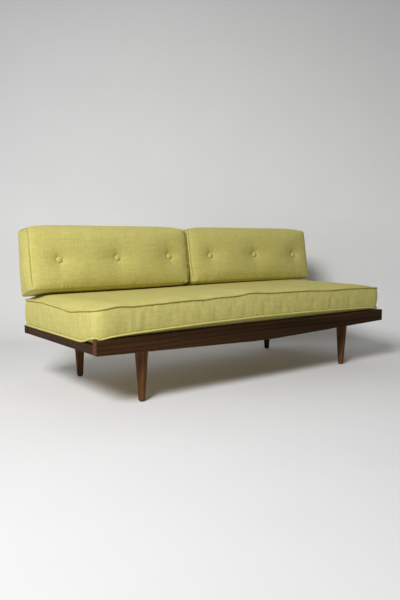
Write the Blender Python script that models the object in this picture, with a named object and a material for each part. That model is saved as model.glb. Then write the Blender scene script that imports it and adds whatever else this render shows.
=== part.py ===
"""A daybed: a low walnut frame on four turned legs, a boxed mattress and two buttoned back bolsters.

Metres, +Z up, +X along the length, and the sitter faces -Y. The frame is drawn about its own centre,
and an empty moves the whole daybed so that the origin is the bottom centre of its overall box.
"""

import math

import bmesh
import bpy
from mathutils import Matrix, Vector

# Fits. Pieces that touch keep this gap, and bolts and pins run in holes this much larger all round.
TOUCH_GAP = 0.0003
HOLE_CLEARANCE = 0.0003

# Frame: rails and end rails.
FRAME_LENGTH = 1.905
FRAME_DEPTH = 0.803
RAIL_UNDERSIDE = 0.2487
FRONT_RAIL_HEIGHT = 0.064
FRONT_RAIL_THICKNESS = 0.034
FRONT_RAIL_BELLY = 0.027
BELLY_BLEND = 0.13
LOW_RAIL_HEIGHT = 0.0413
REAR_RAIL_THICKNESS = 0.034
REAR_RAIL_ROUND = 0.010
END_RAIL_THICKNESS = 0.028
END_RAIL_SETBACK = 0.003
RAIL_EDGE = 0.0015

# Slatted deck inside the frame.
SLAT_COUNT = 11
SLAT_WIDTH = 0.080
SLAT_THICKNESS = 0.015
SLAT_END_CLEARANCE = 0.002
SLAT_EDGE = 0.002
LEDGER_DEPTH = 0.024
LEDGER_HEIGHT = 0.012
BEARER_WIDTH = 0.090
CORNER_BLOCK_SIDE = 0.070
CORNER_BLOCK_LIFT = 0.001

# Legs, with a steel plate, a hanger bolt and a glide each.
LEG_END_INSET = 0.2675
LEG_RAIL_INSET = 0.051
LEG_TOP_DIAMETER = 0.0625
LEG_FOOT_DIAMETER = 0.0315
LEG_EDGE = 0.002
PLATE_SIDE = 0.080
PLATE_THICKNESS = 0.0027
PLATE_LIFT = 0.001
PLATE_SCREW_HOLE = 0.005
PLATE_SCREW_INSET = 0.011
BOLT_DIAMETER = 0.010
BOLT_DEPTH_IN_LEG = 0.045
BOLT_TOP_MARGIN = 0.003
BOLT_CHAMFER = 0.001
GLIDE_DIAMETER = 0.024
GLIDE_HEIGHT = 0.005
GLIDE_EDGE = 0.0015
GLIDE_PIN_DIAMETER = 0.005
GLIDE_PIN_LENGTH = 0.016

# Steel back supports, screwed to the back of the rear rail.
SUPPORT_WIDTH = 0.040
SUPPORT_THICKNESS = 0.006
SUPPORT_REACH = 0.280
SUPPORT_CORNER = 0.012
SUPPORT_FOOT_LIFT = 0.003
SUPPORT_SPREAD = 0.440
SCREW_DIAMETER = 0.006
SCREW_DEPTH_IN_RAIL = 0.022
SCREW_HEAD_ACROSS = 0.010
SCREW_HEAD_HEIGHT = 0.004
SCREW_SPACING = 0.021

# Mattress: a boxed cushion whose front edge lies on top of the front rail.
MATTRESS_END_INSET = 0.0075
MATTRESS_LIP_COVER = 0.017
MATTRESS_REAR_INSET = 0.0095
MATTRESS_REAR_HEIGHT = 0.1287
MATTRESS_FRONT_HEIGHT = 0.1557
MATTRESS_CORNER = 0.035
MATTRESS_CROWN = 0.024
MATTRESS_END_BULGE = 0.006
MATTRESS_FRONT_BULGE = 0.006
RAIL_CLEARANCE_BEHIND = 0.006

# Back bolsters: two equal wedges that lean back and taper towards the top.
BOLSTER_OVERHANG = 0.0195
BOLSTER_MIDDLE_GAP = 0.002
BOLSTER_BOTTOM_DEPTH = 0.152
BOLSTER_FRONT_HEIGHT = 0.314
BOLSTER_REAR_HEIGHT = 0.338
BOLSTER_FRONT_RECLINE = math.radians(9.5)
BOLSTER_REAR_RECLINE = math.radians(5.8)
BOLSTER_BOTTOM_TILT = math.radians(16.0)
BOLSTER_REAR_SETBACK = 0.0275
BOLSTER_SEAT_RISE = 0.019
BOLSTER_CORNER = 0.025
BOLSTER_FRONT_BULGE = 0.022
BOLSTER_REAR_BULGE = 0.020
BOLSTER_END_BULGE = 0.010
BOLSTER_EDGE_BULGE = 0.008

# Covered buttons, three on each bolster.
BUTTON_DIAMETER = 0.029
BUTTON_THICKNESS = 0.008
BUTTON_SPACING = 0.340
BUTTON_HEIGHT_SHARE = 0.49
POCKET_CLEARANCE = 0.0015

# How fine the curved shapes are.
LEG_FACETS = 32
SMALL_FACETS = 16
BUTTON_FACETS = 20
MATTRESS_CELLS = (20, 10, 3)
BOLSTER_CELLS = (14, 5, 8)

# Levels and faces that follow from the sizes above.
DECK_TOP = RAIL_UNDERSIDE + LOW_RAIL_HEIGHT
SLAT_BOTTOM = DECK_TOP - SLAT_THICKNESS
LEDGER_TOP = SLAT_BOTTOM - TOUCH_GAP
LEDGER_BOTTOM = LEDGER_TOP - LEDGER_HEIGHT
PLATE_BOTTOM = RAIL_UNDERSIDE + PLATE_LIFT
BEARER_BOTTOM = PLATE_BOTTOM + PLATE_THICKNESS + TOUCH_GAP
BEARER_TOP = SLAT_BOTTOM - TOUCH_GAP
LEG_TOP = PLATE_BOTTOM - TOUCH_GAP
LEG_BOTTOM = GLIDE_HEIGHT + TOUCH_GAP
LIP_TOP = RAIL_UNDERSIDE + FRONT_RAIL_HEIGHT
FRONT_FACE = -FRAME_DEPTH / 2
REAR_FACE = FRAME_DEPTH / 2
FRONT_INNER = FRONT_FACE + FRONT_RAIL_THICKNESS
REAR_INNER = REAR_FACE - REAR_RAIL_THICKNESS
END_INNER = FRAME_LENGTH / 2 - END_RAIL_SETBACK - END_RAIL_THICKNESS
INNER_DEPTH = REAR_INNER - FRONT_INNER
INNER_MIDDLE = (REAR_INNER + FRONT_INNER) / 2
LEG_X = FRAME_LENGTH / 2 - LEG_END_INSET
LEG_REACH = INNER_DEPTH / 2 - LEG_RAIL_INSET

MATTRESS_LENGTH = FRAME_LENGTH - 2 * MATTRESS_END_INSET
MATTRESS_FRONT = FRONT_INNER - MATTRESS_LIP_COVER
MATTRESS_REAR = REAR_FACE - MATTRESS_REAR_INSET
MATTRESS_BOTTOM = DECK_TOP + TOUCH_GAP

BOLSTER_LENGTH = FRAME_LENGTH / 2 + BOLSTER_OVERHANG - BOLSTER_MIDDLE_GAP / 2
BOLSTER_REAR_EDGE = REAR_FACE - BOLSTER_REAR_SETBACK
BOLSTER_BASE = MATTRESS_BOTTOM + MATTRESS_REAR_HEIGHT + BOLSTER_SEAT_RISE
BOLSTER_CENTRE = BOLSTER_MIDDLE_GAP / 2 + BOLSTER_LENGTH / 2

# A support stands on the rear rail's back and bends to lie along the bolster's bulged rear face.
SUPPORT_FACE = REAR_FACE + TOUCH_GAP
SUPPORT_FOOT = RAIL_UNDERSIDE + SUPPORT_FOOT_LIFT
SUPPORT_OFFSET = (BOLSTER_REAR_BULGE + TOUCH_GAP) / math.cos(BOLSTER_REAR_RECLINE)
SUPPORT_BEND_RISE = (SUPPORT_FACE - BOLSTER_REAR_EDGE - SUPPORT_OFFSET) / math.tan(BOLSTER_REAR_RECLINE)
SUPPORT_BEND = BOLSTER_BASE + SUPPORT_BEND_RISE
SUPPORT_TOP = BOLSTER_BASE + SUPPORT_REACH
SUPPORT_LEAN = (SUPPORT_TOP - SUPPORT_BEND) * math.tan(BOLSTER_REAR_RECLINE)
SUPPORT_TOP_FACE = SUPPORT_FACE + SUPPORT_LEAN

OVERALL_REAR = SUPPORT_TOP_FACE + SUPPORT_THICKNESS / math.cos(BOLSTER_REAR_RECLINE)
OVERALL_MIDDLE = (FRONT_FACE + OVERALL_REAR) / 2

LEG_CORNERS = {
    "front_left": (-1, -1),
    "front_right": (1, -1),
    "rear_left": (-1, 1),
    "rear_right": (1, 1),
}


def finish(name, colour, roughness, metallic=0.0):
    """A plain Principled material."""
    material = bpy.data.materials.new(name)
    material.use_nodes = True
    shader = material.node_tree.nodes["Principled BSDF"]
    shader.inputs["Base Color"].default_value = (*colour, 1.0)
    shader.inputs["Roughness"].default_value = roughness
    shader.inputs["Metallic"].default_value = metallic
    material.diffuse_color = (*colour, 1.0)
    return material


def place(name, mesh, material, parent, location=(0.0, 0.0, 0.0), rotation=(0.0, 0.0, 0.0)):
    """Puts a mesh in the scene as one named piece."""
    piece = bpy.data.objects.new(name, mesh)
    bpy.context.scene.collection.objects.link(piece)
    piece.parent = parent
    piece.location = location
    piece.rotation_euler = rotation
    if not mesh.materials:
        mesh.materials.append(material)
    return piece


def empty(name, parent, location=(0.0, 0.0, 0.0)):
    """A parent for pieces that move together."""
    holder = bpy.data.objects.new(name, None)
    bpy.context.scene.collection.objects.link(holder)
    holder.parent = parent
    holder.location = location
    return holder


def cutter(name, mesh, parent, location=(0.0, 0.0, 0.0), rotation=(0.0, 0.0, 0.0)):
    """A hidden shape that a Boolean takes away."""
    tool = bpy.data.objects.new(name, mesh)
    bpy.context.scene.collection.objects.link(tool)
    tool.parent = parent
    tool.location = location
    tool.rotation_euler = rotation
    tool.hide_render = True
    tool.display_type = "WIRE"
    return tool


def combine(piece, tool, operation="DIFFERENCE"):
    """Cuts the tool from the piece, or joins it on."""
    boolean = piece.modifiers.new(operation.lower(), "BOOLEAN")
    boolean.operation = operation
    boolean.solver = "EXACT"
    boolean.object = tool


def ease(piece, width, segments=2):
    """Rounds the sharp edges of a piece."""
    bevel = piece.modifiers.new("eased_edges", "BEVEL")
    bevel.width = width
    bevel.segments = segments
    bevel.limit_method = "ANGLE"
    bevel.angle_limit = math.radians(30)


def finished_mesh(name, bm, smooth=False):
    """Turns a bmesh into a mesh with its faces outwards."""
    bmesh.ops.recalc_face_normals(bm, faces=bm.faces)
    mesh = bpy.data.meshes.new(name)
    bm.to_mesh(mesh)
    bm.free()
    if smooth:
        mesh.shade_smooth()
        mesh.set_sharp_from_angle(angle=math.radians(35))
    return mesh


def block(name, size):
    """A rectangular block about its own centre."""
    bm = bmesh.new()
    bmesh.ops.create_cube(bm, size=1.0, matrix=Matrix.Diagonal((*size, 1.0)))
    return finished_mesh(name, bm)


def extruded(name, outline, along):
    """A flat outline of 3-D points, pushed along a vector."""
    bm = bmesh.new()
    face = bm.faces.new([bm.verts.new(point) for point in outline])
    pushed = bmesh.ops.extrude_face_region(bm, geom=[face])
    moved = [item for item in pushed["geom"] if isinstance(item, bmesh.types.BMVert)]
    bmesh.ops.translate(bm, verts=moved, vec=along)
    return finished_mesh(name, bm)


def turned(name, profile, facets):
    """A profile of (radius, height) points turned about Z."""
    bm = bmesh.new()
    points = [bm.verts.new((radius, 0.0, height)) for radius, height in profile]
    edges = [bm.edges.new(pair) for pair in zip(points, points[1:])]
    bmesh.ops.spin(
        bm, geom=points + edges, axis=(0, 0, 1), cent=(0, 0, 0), angle=math.tau, steps=facets, use_merge=True
    )
    bmesh.ops.remove_doubles(bm, verts=bm.verts, dist=1e-6)
    return finished_mesh(name, bm, smooth=True)


def drilled(name, places, radius, depth, facets=SMALL_FACETS):
    """Cylinders centred on the given points, all along Z, as one cutting shape."""
    bm = bmesh.new()
    for point in places:
        bmesh.ops.create_cone(
            bm,
            cap_ends=True,
            segments=facets,
            radius1=radius,
            radius2=radius,
            depth=depth,
            matrix=Matrix.Translation(point),
        )
    return finished_mesh(name, bm)


def rounded(x, y, half_x, half_y, radius):
    """Moves a point of a rectangle onto the same rectangle with round corners."""
    over_x = abs(x) - (half_x - radius)
    over_y = abs(y) - (half_y - radius)
    if over_x <= 0 or over_y <= 0:
        return x, y
    shrink = max(over_x, over_y) / math.hypot(over_x, over_y)
    near_x = half_x - radius + over_x * shrink
    near_y = half_y - radius + over_y * shrink
    return math.copysign(near_x, x), math.copysign(near_y, y)


def cushion(name, cells, shape):
    """A closed skin over the surface of a cube from -1 to 1, whose points shape() puts in place."""
    bm = bmesh.new()
    corners = {}

    def corner(step):
        if step not in corners:
            cube = [math.sin(math.pi * (count / total - 0.5)) for count, total in zip(step, cells)]
            corners[step] = bm.verts.new(shape(*cube))
        return corners[step]

    for axis in range(3):
        first, second = [other for other in range(3) if other != axis]
        for side in (0, cells[axis]):
            for i in range(cells[first]):
                for j in range(cells[second]):
                    loop = []
                    for di, dj in ((0, 0), (1, 0), (1, 1), (0, 1)):
                        step = [side, side, side]
                        step[first] = i + di
                        step[second] = j + dj
                        loop.append(corner(tuple(step)))
                    bm.faces.new(loop)
    return finished_mesh(name, bm, smooth=True)


def dome(a, b, power=4):
    """How far a stuffed face stands out at (a, b): 1 in the middle, 0 at the seams."""
    return (1 - abs(a) ** power) * (1 - abs(b) ** power)


def front_rail_mesh():
    """The front rail's outline, whose lower edge falls to a soft point in the middle."""
    half = FRAME_LENGTH / 2
    slope = FRONT_RAIL_BELLY / half
    outline = [(-half, 0.0, 0.0)]
    steps = 8
    for count in range(steps + 1):
        x = BELLY_BLEND * (2 * count / steps - 1)
        drop = FRONT_RAIL_BELLY - slope * (BELLY_BLEND / 2 + x * x / (2 * BELLY_BLEND))
        outline.append((x, 0.0, -drop))
    outline += [(half, 0.0, 0.0), (half, 0.0, FRONT_RAIL_HEIGHT), (-half, 0.0, FRONT_RAIL_HEIGHT)]
    return extruded("front_rail", outline, (0.0, FRONT_RAIL_THICKNESS, 0.0))


def rear_rail_mesh():
    """The rear rail's end section, with its lower outer edge rounded over."""
    inner = -REAR_RAIL_THICKNESS
    outline = [(0.0, inner, 0.0)]
    steps = 6
    for count in range(steps + 1):
        turn = math.pi / 2 * count / steps
        y = REAR_RAIL_ROUND * (math.sin(turn) - 1)
        z = REAR_RAIL_ROUND * (1 - math.cos(turn))
        outline.append((0.0, y, z))
    outline += [(0.0, 0.0, LOW_RAIL_HEIGHT), (0.0, inner, LOW_RAIL_HEIGHT)]
    mesh = extruded("rear_rail", outline, (FRAME_LENGTH, 0.0, 0.0))
    mesh.transform(Matrix.Translation((-FRAME_LENGTH / 2, 0.0, 0.0)))
    return mesh


def build_frame(frame, walnut):
    """Front and rear rails run the full length, and the end rails butt between them."""
    front = place("front_rail", front_rail_mesh(), walnut, frame, (0.0, FRONT_FACE, RAIL_UNDERSIDE))
    ease(front, RAIL_EDGE)
    rear = place("rear_rail", rear_rail_mesh(), walnut, frame, (0.0, REAR_FACE, RAIL_UNDERSIDE))
    ease(rear, RAIL_EDGE)

    end_mesh = block("end_rail", (END_RAIL_THICKNESS, INNER_DEPTH - 2 * TOUCH_GAP, LOW_RAIL_HEIGHT))
    end_x = END_INNER + END_RAIL_THICKNESS / 2
    for name, side in (("left_end_rail", -1), ("right_end_rail", 1)):
        centre = (side * end_x, INNER_MIDDLE, RAIL_UNDERSIDE + LOW_RAIL_HEIGHT / 2)
        ease(place(name, end_mesh, walnut, frame, centre), RAIL_EDGE)
    return rear


def build_deck(frame, timber):
    """Slats on two ledgers, with cross bearers for the legs and a block in each corner."""
    ledger_mesh = block("ledger", (2 * (END_INNER - TOUCH_GAP), LEDGER_DEPTH, LEDGER_HEIGHT))
    ledger_z = LEDGER_BOTTOM + LEDGER_HEIGHT / 2
    front_y = FRONT_INNER + TOUCH_GAP + LEDGER_DEPTH / 2
    rear_y = REAR_INNER - TOUCH_GAP - LEDGER_DEPTH / 2
    place("front_ledger", ledger_mesh, timber, frame, (0.0, front_y, ledger_z))
    place("rear_ledger", ledger_mesh, timber, frame, (0.0, rear_y, ledger_z))

    slat_mesh = block("slat", (SLAT_WIDTH, INNER_DEPTH - 2 * SLAT_END_CLEARANCE, SLAT_THICKNESS))
    pitch = 2 * END_INNER / SLAT_COUNT
    for count in range(SLAT_COUNT):
        x = -END_INNER + pitch * (count + 0.5)
        centre = (x, INNER_MIDDLE, SLAT_BOTTOM + SLAT_THICKNESS / 2)
        ease(place(f"slat_{count + 1:02d}", slat_mesh, timber, frame, centre), SLAT_EDGE, segments=1)

    # A bearer's ends are thinned to pass under the ledgers.
    reach = INNER_DEPTH / 2 - TOUCH_GAP
    shoulder = INNER_DEPTH / 2 - LEDGER_DEPTH - 2 * TOUCH_GAP
    tongue = LEDGER_BOTTOM - TOUCH_GAP - BEARER_BOTTOM
    full = BEARER_TOP - BEARER_BOTTOM
    outline = [
        (0.0, -reach, 0.0),
        (0.0, reach, 0.0),
        (0.0, reach, tongue),
        (0.0, shoulder, tongue),
        (0.0, shoulder, full),
        (0.0, -shoulder, full),
        (0.0, -shoulder, tongue),
        (0.0, -reach, tongue),
    ]
    bearer_mesh = extruded("leg_bearer", outline, (BEARER_WIDTH, 0.0, 0.0))
    bearer_mesh.transform(Matrix.Translation((-BEARER_WIDTH / 2, 0.0, 0.0)))
    bolt_places = [(0.0, side * LEG_REACH, full / 2) for side in (-1, 1)]
    bolt_hole = BOLT_DIAMETER / 2 + HOLE_CLEARANCE
    for name, side in (("left_leg_bearer", -1), ("right_leg_bearer", 1)):
        spot = (side * LEG_X, INNER_MIDDLE, BEARER_BOTTOM)
        bearer = place(name, bearer_mesh, timber, frame, spot)
        holes = drilled(name + "_holes", bolt_places, bolt_hole, 2 * full)
        combine(bearer, cutter(name + "_holes", holes, frame, spot))

    block_height = LEDGER_BOTTOM - TOUCH_GAP - RAIL_UNDERSIDE - CORNER_BLOCK_LIFT
    triangle = [(0.0, 0.0, 0.0), (CORNER_BLOCK_SIDE, 0.0, 0.0), (0.0, CORNER_BLOCK_SIDE, 0.0)]
    block_mesh = extruded("corner_block", triangle, (0.0, 0.0, block_height))
    turns = {"front_left": 0.0, "front_right": 90.0, "rear_right": 180.0, "rear_left": -90.0}
    for corner, (side_x, side_y) in LEG_CORNERS.items():
        x = side_x * (END_INNER - TOUCH_GAP)
        y = INNER_MIDDLE + side_y * (INNER_DEPTH / 2 - TOUCH_GAP)
        spot = (x, y, RAIL_UNDERSIDE + CORNER_BLOCK_LIFT)
        rotation = (0.0, 0.0, math.radians(turns[corner]))
        place("corner_block_" + corner, block_mesh, timber, frame, spot, rotation)


def build_legs(frame, walnut, steel, nylon):
    """Turned legs on steel plates under the bearers."""
    bolt_hole = BOLT_DIAMETER / 2 + HOLE_CLEARANCE
    pin_hole = GLIDE_PIN_DIAMETER / 2 + HOLE_CLEARANCE
    bolt_bottom = LEG_TOP - BOLT_DEPTH_IN_LEG
    bolt_top = BEARER_TOP - BOLT_TOP_MARGIN
    pin_top = GLIDE_HEIGHT + GLIDE_PIN_LENGTH
    top = LEG_TOP_DIAMETER / 2
    foot = LEG_FOOT_DIAMETER / 2

    leg_mesh = turned(
        "leg",
        [
            (0.0, bolt_bottom - TOUCH_GAP),
            (bolt_hole, bolt_bottom - TOUCH_GAP),
            (bolt_hole, LEG_TOP),
            (top - LEG_EDGE, LEG_TOP),
            (top, LEG_TOP - LEG_EDGE),
            (foot, LEG_BOTTOM + LEG_EDGE),
            (foot - LEG_EDGE, LEG_BOTTOM),
            (pin_hole, LEG_BOTTOM),
            (pin_hole, pin_top + TOUCH_GAP),
            (0.0, pin_top + TOUCH_GAP),
        ],
        LEG_FACETS,
    )
    bolt_mesh = turned(
        "leg_bolt",
        [
            (0.0, bolt_bottom),
            (BOLT_DIAMETER / 2 - BOLT_CHAMFER, bolt_bottom),
            (BOLT_DIAMETER / 2, bolt_bottom + BOLT_CHAMFER),
            (BOLT_DIAMETER / 2, bolt_top - BOLT_CHAMFER),
            (BOLT_DIAMETER / 2 - BOLT_CHAMFER, bolt_top),
            (0.0, bolt_top),
        ],
        SMALL_FACETS,
    )
    glide_mesh = turned(
        "glide",
        [
            (0.0, pin_top),
            (GLIDE_PIN_DIAMETER / 2, pin_top),
            (GLIDE_PIN_DIAMETER / 2, GLIDE_HEIGHT),
            (GLIDE_DIAMETER / 2 - GLIDE_EDGE, GLIDE_HEIGHT),
            (GLIDE_DIAMETER / 2, GLIDE_HEIGHT - GLIDE_EDGE),
            (GLIDE_DIAMETER / 2, GLIDE_EDGE),
            (GLIDE_DIAMETER / 2 - GLIDE_EDGE, 0.0),
            (0.0, 0.0),
        ],
        LEG_FACETS,
    )
    plate_mesh = block("leg_plate", (PLATE_SIDE, PLATE_SIDE, PLATE_THICKNESS))
    hole_at = PLATE_SIDE / 2 - PLATE_SCREW_INSET
    screw_places = [(x * hole_at, y * hole_at, 0.0) for x in (-1, 1) for y in (-1, 1)]
    through = 2 * PLATE_THICKNESS
    for corner, (side_x, side_y) in LEG_CORNERS.items():
        x = side_x * LEG_X
        y = INNER_MIDDLE + side_y * LEG_REACH
        place("leg_" + corner, leg_mesh, walnut, frame, (x, y, 0.0))
        place("leg_bolt_" + corner, bolt_mesh, steel, frame, (x, y, 0.0))
        place("glide_" + corner, glide_mesh, nylon, frame, (x, y, 0.0))
        middle = (x, y, PLATE_BOTTOM + PLATE_THICKNESS / 2)
        plate = place("leg_plate_" + corner, plate_mesh, steel, frame, middle)
        centre_hole = drilled("plate_centre_hole", [(0.0, 0.0, 0.0)], bolt_hole, through)
        screw_holes = drilled("plate_screw_holes", screw_places, PLATE_SCREW_HOLE / 2, through, 12)
        combine(plate, cutter("centre_hole_" + corner, centre_hole, frame, middle))
        combine(plate, cutter("screw_holes_" + corner, screw_holes, frame, middle))


def support_mesh():
    """A flat bar that stands on the rail and then leans back with the bolster."""
    bend = SUPPORT_BEND - SUPPORT_FOOT
    top = SUPPORT_TOP - SUPPORT_FOOT
    slant = SUPPORT_THICKNESS * math.tan(BOLSTER_REAR_RECLINE / 2)
    across = SUPPORT_THICKNESS / math.cos(BOLSTER_REAR_RECLINE)
    outline = [
        (0.0, 0.0, 0.0),
        (0.0, SUPPORT_THICKNESS, 0.0),
        (0.0, SUPPORT_THICKNESS, bend - slant),
        (0.0, SUPPORT_LEAN + across, top),
        (0.0, SUPPORT_LEAN, top),
        (0.0, 0.0, bend),
    ]
    mesh = extruded("back_support", outline, (SUPPORT_WIDTH, 0.0, 0.0))
    mesh.transform(Matrix.Translation((-SUPPORT_WIDTH / 2, 0.0, 0.0)))

    # The two short edges across the bar's top become round corners.
    bm = bmesh.new()
    bm.from_mesh(mesh)
    corners = [
        edge
        for edge in bm.edges
        if all(vert.co.z > top - TOUCH_GAP for vert in edge.verts)
        and abs(edge.verts[0].co.x - edge.verts[1].co.x) < TOUCH_GAP
    ]
    bmesh.ops.bevel(bm, geom=corners, offset=SUPPORT_CORNER, segments=5, profile=0.5, affect="EDGES")
    return finished_mesh("back_support", bm)


def build_supports(frame, rear_rail, steel):
    """Two bars behind each bolster, each held by two hexagon-headed wood screws."""
    bar = support_mesh()
    rail_middle = RAIL_UNDERSIDE + LOW_RAIL_HEIGHT / 2
    levels = [rail_middle - SCREW_SPACING / 2, rail_middle + SCREW_SPACING / 2]
    screw_hole = SCREW_DIAMETER / 2 + HOLE_CLEARANCE
    head_face = SUPPORT_FACE + SUPPORT_THICKNESS + TOUCH_GAP
    tip = REAR_FACE - SCREW_DEPTH_IN_RAIL
    length = head_face - tip

    shank_mesh = turned(
        "support_screw",
        [
            (0.0, -SCREW_HEAD_HEIGHT / 2),
            (SCREW_DIAMETER / 2, -SCREW_HEAD_HEIGHT / 2),
            (SCREW_DIAMETER / 2, length - SCREW_DIAMETER),
            (SCREW_DIAMETER / 8, length),
            (0.0, length),
        ],
        12,
    )
    head_radius = SCREW_HEAD_ACROSS / math.sqrt(3)
    head_mesh = drilled("screw_head", [(0.0, 0.0, -SCREW_HEAD_HEIGHT / 2)], head_radius, SCREW_HEAD_HEIGHT, 6)
    hole_length = length + SCREW_HEAD_HEIGHT
    hole_middle = length + TOUCH_GAP - hole_length / 2
    forwards = (math.radians(90), 0.0, 0.0)

    names = (("left_outer", -1, -1), ("left_inner", -1, 1), ("right_inner", 1, -1), ("right_outer", 1, 1))
    for name, side, end in names:
        x = side * BOLSTER_CENTRE + end * SUPPORT_SPREAD / 2
        support = place("back_support_" + name, bar, steel, frame, (x, SUPPORT_FACE, SUPPORT_FOOT))
        for level_name, level in zip(("lower", "upper"), levels):
            spot = (x, head_face, level)
            screw = place(f"support_screw_{name}_{level_name}", shank_mesh, steel, frame, spot, forwards)
            combine(screw, cutter(f"head_{name}_{level_name}", head_mesh, frame, spot, forwards), "UNION")
            hole = drilled("screw_hole", [(0.0, 0.0, hole_middle)], screw_hole, hole_length, 12)
            tool = cutter(f"hole_{name}_{level_name}", hole, frame, spot, forwards)
            combine(support, tool)
            combine(rear_rail, tool)


def mattress_shape(u, v, w):
    """A boxed cushion, thicker at its front edge, with bulging sides and a crowned top."""
    half_x = MATTRESS_LENGTH / 2
    half_y = (MATTRESS_REAR - MATTRESS_FRONT) / 2
    x, y = rounded(u * half_x, v * half_y, half_x, half_y, MATTRESS_CORNER)
    x += u * MATTRESS_END_BULGE * dome(v, w)
    y += min(v, 0.0) * MATTRESS_FRONT_BULGE * dome(u, w)
    share = (w + 1) / 2
    rise = (half_y - y) / (2 * half_y)
    height = MATTRESS_REAR_HEIGHT + (MATTRESS_FRONT_HEIGHT - MATTRESS_REAR_HEIGHT) * rise
    return x, y, share * (height + MATTRESS_CROWN * dome(u, v, 8))


def build_mattress(mattress, fabric):
    """The mattress lies on the slats, and its front edge laps over the front rail."""
    middle = (MATTRESS_FRONT + MATTRESS_REAR) / 2
    mesh = cushion("mattress", MATTRESS_CELLS, mattress_shape)
    piece = place("mattress", mesh, fabric, mattress, (0.0, middle, MATTRESS_BOTTOM))
    notch_rear = FRONT_INNER + RAIL_CLEARANCE_BEHIND
    notch_top = LIP_TOP + TOUCH_GAP
    height = 2 * (notch_top - RAIL_UNDERSIDE)
    depth = FRAME_DEPTH / 2
    notch = block("mattress_notch", (2 * FRAME_LENGTH, depth, height))
    spot = (0.0, notch_rear - depth / 2, notch_top - height / 2)
    combine(piece, cutter("mattress_notch", notch, mattress, spot))


def bolster_shape(u, v, w):
    """A wedge about its rear lower edge: v runs from the front face to the rear, w from bottom to top."""
    lean = (BOLSTER_FRONT_RECLINE + BOLSTER_REAR_RECLINE) / 2
    rear_up = Vector((0.0, math.sin(BOLSTER_REAR_RECLINE), math.cos(BOLSTER_REAR_RECLINE)))
    front_up = Vector((0.0, math.sin(BOLSTER_FRONT_RECLINE), math.cos(BOLSTER_FRONT_RECLINE)))
    front_foot = Vector((0.0, -math.cos(BOLSTER_BOTTOM_TILT), math.sin(BOLSTER_BOTTOM_TILT)))
    half_x = BOLSTER_LENGTH / 2
    half_z = BOLSTER_REAR_HEIGHT / 2
    x, z = rounded(u * half_x, w * half_z, half_x, half_z, BOLSTER_CORNER)
    share = z / BOLSTER_REAR_HEIGHT + 0.5
    rear = rear_up * BOLSTER_REAR_HEIGHT * share
    front = front_foot * BOLSTER_BOTTOM_DEPTH + front_up * BOLSTER_FRONT_HEIGHT * share
    point = front.lerp(rear, (v + 1) / 2)

    bulge = BOLSTER_REAR_BULGE if v > 0 else BOLSTER_FRONT_BULGE
    outwards = Vector((0.0, math.cos(lean), -math.sin(lean)))
    upwards = Vector((0.0, math.sin(lean), math.cos(lean)))
    point += outwards * v * bulge * dome(u, w)
    point += upwards * w * BOLSTER_EDGE_BULGE * dome(u, v)
    point.x = x + max(u, 0.0) * BOLSTER_END_BULGE * dome(v, w)
    return point


def button_mesh():
    """A covered button: a shallow dome with a rounded rim and a flat back."""
    radius = BUTTON_DIAMETER / 2
    rim = BUTTON_THICKNESS * 0.35
    profile = [(0.0, 0.0), (radius - rim / 2, 0.0), (radius, rim)]
    steps = 4
    for count in range(1, steps + 1):
        turn = math.pi / 2 * count / steps
        profile.append((radius * math.cos(turn), rim + (BUTTON_THICKNESS - rim) * math.sin(turn)))
    return turned("button", profile, BUTTON_FACETS)


def build_bolsters(mattress, fabric):
    """Two bolsters, mirrored about the middle so that the stuffed ends face outwards."""
    right_mesh = cushion("right_bolster", BOLSTER_CELLS, bolster_shape)
    left_mesh = right_mesh.copy()
    left_mesh.name = "left_bolster"
    left_mesh.transform(Matrix.Diagonal((-1.0, 1.0, 1.0, 1.0)))
    left_mesh.flip_normals()
    button = button_mesh()

    # The pockets reach in to the plane of the front seams, and a button lies in the bottom of each.
    lift = BOLSTER_FRONT_HEIGHT * BUTTON_HEIGHT_SHARE
    y = -BOLSTER_BOTTOM_DEPTH * math.cos(BOLSTER_BOTTOM_TILT) + lift * math.sin(BOLSTER_FRONT_RECLINE)
    z = BOLSTER_BOTTOM_DEPTH * math.sin(BOLSTER_BOTTOM_TILT) + lift * math.cos(BOLSTER_FRONT_RECLINE)
    seam_plane = Vector((0.0, BOLSTER_REAR_EDGE + y, BOLSTER_BASE + z))
    outwards = Vector((0.0, -math.cos(BOLSTER_FRONT_RECLINE), math.sin(BOLSTER_FRONT_RECLINE)))
    facing = (math.radians(90) - BOLSTER_FRONT_RECLINE, 0.0, 0.0)
    pocket_depth = 2 * BOLSTER_FRONT_BULGE
    pocket_radius = BUTTON_DIAMETER / 2 + POCKET_CLEARANCE

    for name, mesh, side in (("left_bolster", left_mesh, -1), ("right_bolster", right_mesh, 1)):
        lifted = empty(name + "_lift", mattress)
        spot = (side * BOLSTER_CENTRE, BOLSTER_REAR_EDGE, BOLSTER_BASE)
        bolster = place(name, mesh, fabric, lifted, spot)
        for count, along in enumerate(("left", "middle", "right")):
            across = Vector((side * BOLSTER_CENTRE + (count - 1) * BUTTON_SPACING, 0.0, 0.0))
            floor = seam_plane + across
            tool = drilled("pocket", [(0.0, 0.0, pocket_depth / 2)], pocket_radius, pocket_depth, BUTTON_FACETS)
            combine(bolster, cutter(f"pocket_{name}_{along}", tool, lifted, floor, facing))
            place(f"{name}_button_{along}", button, fabric, lifted, floor + outwards * TOUCH_GAP, facing)


for old in list(bpy.data.objects):
    bpy.data.objects.remove(old, do_unlink=True)

walnut = finish("walnut", (0.075, 0.036, 0.018), 0.42)
timber = finish("slat_timber", (0.62, 0.46, 0.29), 0.55)
steel = finish("steel", (0.10, 0.10, 0.105), 0.45, 1.0)
zinc = finish("zinc_fasteners", (0.62, 0.62, 0.60), 0.35, 1.0)
nylon = finish("nylon", (0.03, 0.028, 0.026), 0.5)
fabric = finish("lime_fabric", (0.52, 0.47, 0.17), 0.9)

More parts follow.
